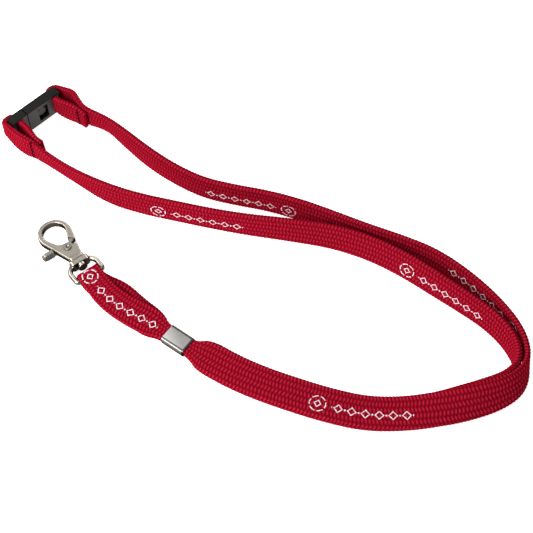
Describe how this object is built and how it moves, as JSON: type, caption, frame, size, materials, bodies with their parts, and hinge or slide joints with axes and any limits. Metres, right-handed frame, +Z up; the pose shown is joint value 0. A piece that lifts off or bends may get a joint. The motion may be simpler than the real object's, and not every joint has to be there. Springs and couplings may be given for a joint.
{
  "type": "neck lanyard",
  "caption": "Neck lanyard of flat tubular braid with a breakaway side buckle, a crimp sleeve and a swivel trigger hook for keys or a badge.",
  "frame": {"origin": "on the surface that the lanyard lies on, under the centre of the whole object's box", "axes": "+Z up, +X along the laid-out loop from the buckle and hook towards the bend, +Y away from the hook side"},
  "size_m": [0.2448, 0.1853, 0.016],
  "materials": {
    "strap_red": "braided polyester, slight satin",
    "seam_thread": "twisted polyester thread",
    "buckle_plastic": "fine moulded texture",
    "crimp_nickel": "nickel-plated steel strip, pressed",
    "hook_nickel": "nickel-plated zinc casting, tumbled",
    "lever_nickel": "nickel-plated, slightly duller than the hook",
    "spring_steel": "bare spring wire"
  },
  "bodies": {
    "root": {"neck_strap_front": "strap_red", "neck_strap_back": "strap_red", "hook_loop_strap": "strap_red", "crimp_sleeve": "crimp_nickel", "socket_end_loop": "strap_red", "socket_seam_thread": "seam_thread", "buckle_socket": "buckle_plastic"},
    "plug": {"buckle_plug": "buckle_plastic", "plug_end_loop": "strap_red", "plug_seam_thread": "seam_thread"},
    "eye": {"swivel_eye": "hook_nickel"},
    "hook": {"hook_body": "hook_nickel", "lever_rivet": "hook_nickel", "lever_spring": "spring_steel", "swivel_stem": "hook_nickel"},
    "lever": {"gate_lever": "lever_nickel"}
  },
  "joints": [
    {"name": "plug_release", "type": "slide", "parent": "root", "child": "plug", "axis": [-0.7071, -0.7071, 0], "range_m": [0, 0.014]},
    {"name": "eye_tilt", "type": "hinge", "parent": "root", "child": "eye", "pos_m": [-0.07338, -0.01445, 0.0033], "axis": [-0.7997, -0.6004, 0], "range_deg": [-70, 70]},
    {"name": "hook_swivel", "type": "hinge", "parent": "eye", "child": "hook", "pos_m": [-0.07848, -0.00766, 0.00294], "axis": [-0.5999, 0.799, -0.0422], "continuous": true},
    {"name": "lever_swing", "type": "hinge", "parent": "hook", "child": "lever", "pos_m": [-0.0848, 0.00034, 0.00251], "axis": [-0.0254, 0.0338, 0.9991], "range_deg": [0, 38], "stiffness_Nm_per_rad": 0.02, "springref_deg": -22.92}
  ]
}
